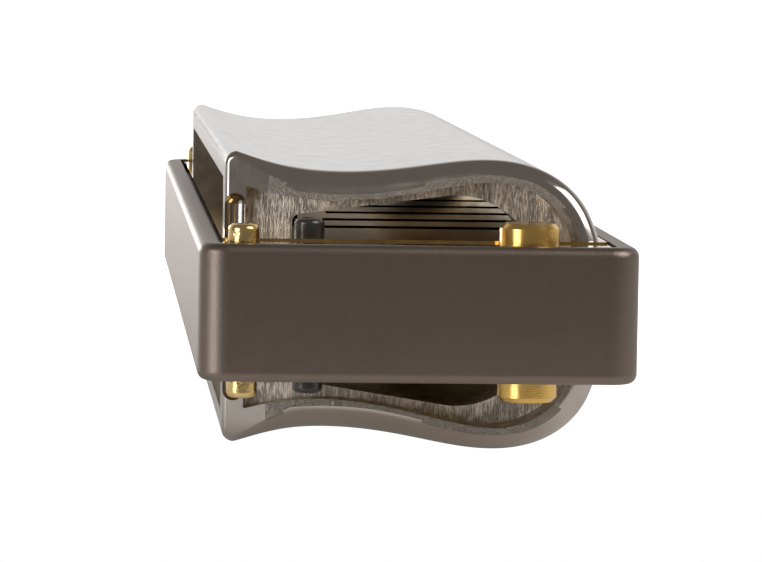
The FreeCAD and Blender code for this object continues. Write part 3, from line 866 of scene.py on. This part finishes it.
class HARMONICA_OT_plates(Operator):
    """Finish the two reed plates in polished brass"""
    bl_idname = "harmonica.plates"
    bl_label = "Reed plates"

    def execute(self, context):
        dress(["blow_reed_plate", "draw_reed_plate"], plate_brass(context.scene.harmonica_finish))
        return {"FINISHED"}


class HARMONICA_OT_reeds(Operator):
    """Finish the reeds, their pads and their rivets"""
    bl_idname = "harmonica.reeds"
    bl_label = "Reeds"

    def execute(self, context):
        finish = context.scene.harmonica_finish
        tongues = [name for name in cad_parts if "_reed_" in name
                   and name.rsplit("_", 1)[-1].isdigit()]
        dress(tongues + ["blow_reed_pads", "draw_reed_pads"], reed_brass(finish))
        dress(["blow_reed_rivets", "draw_reed_rivets"], rivet_brass(finish))
        return {"FINISHED"}


class HARMONICA_OT_fasteners(Operator):
    """Finish the corner bushes, the black and brass screws and the dowels"""
    bl_idname = "harmonica.fasteners"
    bl_label = "Fasteners"

    def execute(self, context):
        finish = context.scene.harmonica_finish
        dress(["brass_posts"], turned_brass(finish))
        dress(["corner_screws"], rivet_brass(finish))
        dress(["blow_plate_screws", "draw_plate_screws"], black_oxide(finish))
        dress(["cover_dowels"], ground_steel(finish))
        return {"FINISHED"}


def soft_light(name, place_mm, aim_mm, width, height, power):
    """A rectangular studio light. Places and sizes are in millimetres."""
    lamp = bpy.data.lights.new(name, "AREA")
    lamp.shape = "RECTANGLE"
    lamp.size = width * MM
    lamp.size_y = height * MM
    lamp.energy = power
    made = bpy.data.objects.new(name, lamp)
    bpy.context.scene.collection.objects.link(made)
    place_at = Vector(place_mm) * MM
    aim = Vector(aim_mm) * MM - place_at
    made.location = place_at
    made.rotation_euler = aim.to_track_quat("-Z", "Y").to_euler()


def studio_world(stage):
    """A pale backdrop beyond the far end, and a shaded room on the near side."""
    world = bpy.data.worlds.new("studio")
    world.use_nodes = True
    tree = world.node_tree
    tree.nodes.clear()
    toward = tree.nodes.new("ShaderNodeTexCoord").outputs["Generated"]
    parts = tree.nodes.new("ShaderNodeSeparateXYZ")
    tree.links.new(toward, parts.inputs[0])
    behind = between(tree, parts.outputs["X"], *BACKDROP_EDGE)
    low = between(tree, parts.outputs["Z"], *BACKDROP_TOP, 1.0, 0.0)
    lit = maths(tree, "MULTIPLY", behind, low)
    level = maths(tree, "MULTIPLY_ADD", lit, stage.backdrop - stage.shade, stage.shade)
    seen = tree.nodes.new("ShaderNodeLightPath").outputs["Is Camera Ray"]
    strength = maths(tree, "MAXIMUM", level, seen)
    back = tree.nodes.new("ShaderNodeBackground")
    warm = mixed(tree, maths(tree, "MAXIMUM", lit, seen), ROOM_TINT, BACKDROP_TINT)
    tree.links.new(warm, back.inputs["Color"])
    tree.links.new(strength, back.inputs["Strength"])
    out = tree.nodes.new("ShaderNodeOutputWorld")
    tree.links.new(back.outputs[0], out.inputs["Surface"])
    bpy.context.scene.world = world


def floor_board(stage):
    """A wide level board under the instrument, from just before its near end to far behind."""
    body = bmesh.new()
    half = 4.0
    bmesh.ops.create_grid(body, x_segments=8, y_segments=8, size=half)
    forward = half + COMB_LOW.x - stage.near_edge
    bmesh.ops.translate(body, verts=body.verts, vec=(forward, 0, 0))
    mesh = bpy.data.meshes.new("floor")
    body.to_mesh(mesh)
    body.free()
    mesh.materials.append(pale_floor(stage))
    made = new_piece("floor", mesh)
    made.location.z = CAD_BOX[0].z


def stage_camera(stage):
    """Looks along the instrument from just above its low end, a little to the back."""
    target = Vector((COMB_LOW.x, *(aim * MM for aim in AIM_MM)))
    away = Vector(SIGHT).normalized()
    lens = bpy.data.cameras.new("camera")
    lens.lens = stage.lens
    lens.sensor_width = 36.0
    lens.clip_start = 0.01
    lens.clip_end = 20.0
    made = bpy.data.objects.new("camera", lens)
    bpy.context.scene.collection.objects.link(made)
    made.location = target + away * stage.reach
    level = (-away).to_track_quat("-Z", "Y").to_matrix()
    lean = Euler((0, 0, math.radians(LEAN_DEGREES))).to_matrix()
    made.rotation_euler = (level @ lean).to_euler()
    bpy.context.scene.camera = made


class HARMONICA_OT_stage(Operator):
    """Set up the floor, the soft lights and the camera"""
    bl_idname = "harmonica.stage"
    bl_label = "Stage"

    def execute(self, context):
        stage = context.scene.harmonica_stage
        context.scene.view_settings.view_transform = "Standard"
        studio_world(stage)
        floor_board(stage)
        stage_camera(stage)
        for lamp in LAMPS:
            soft_light(*lamp)
        return {"FINISHED"}


class HARMONICA_PT_sidebar(Panel):
    """Lists the pieces and the settings"""
    bl_idname = "HARMONICA_PT_sidebar"
    bl_label = "Harmonica"
    bl_space_type = "VIEW_3D"
    bl_region_type = "UI"
    bl_category = "Harmonica"

    def draw(self, context):
        column = self.layout.column()
        for operator in OPERATORS:
            column.operator(operator.bl_idname)
        for group in (context.scene.harmonica_cover, context.scene.harmonica_finish,
                      context.scene.harmonica_stage):
            box = self.layout.box()
            for name in group.__annotations__:
                box.prop(group, name)


OPERATORS = (HARMONICA_OT_covers, HARMONICA_OT_comb, HARMONICA_OT_plates, HARMONICA_OT_reeds,
             HARMONICA_OT_fasteners, HARMONICA_OT_stage)
GROUPS = {"harmonica_cover": HARMONICA_PG_cover, "harmonica_finish": HARMONICA_PG_finish,
          "harmonica_stage": HARMONICA_PG_stage}
CLASSES = (*GROUPS.values(), *OPERATORS, HARMONICA_PT_sidebar)


def register():
    for made in CLASSES:
        bpy.utils.register_class(made)
    for name, group in GROUPS.items():
        setattr(bpy.types.Scene, name, PointerProperty(type=group))


def unregister():
    for name in GROUPS:
        delattr(bpy.types.Scene, name)
    for made in reversed(CLASSES):
        bpy.utils.unregister_class(made)


def main():
    register()
    bpy.ops.harmonica.covers()
    bpy.ops.harmonica.comb()
    bpy.ops.harmonica.plates()
    bpy.ops.harmonica.reeds()
    bpy.ops.harmonica.fasteners()
    bpy.ops.harmonica.stage()


if __name__ == "__main__":
    main()
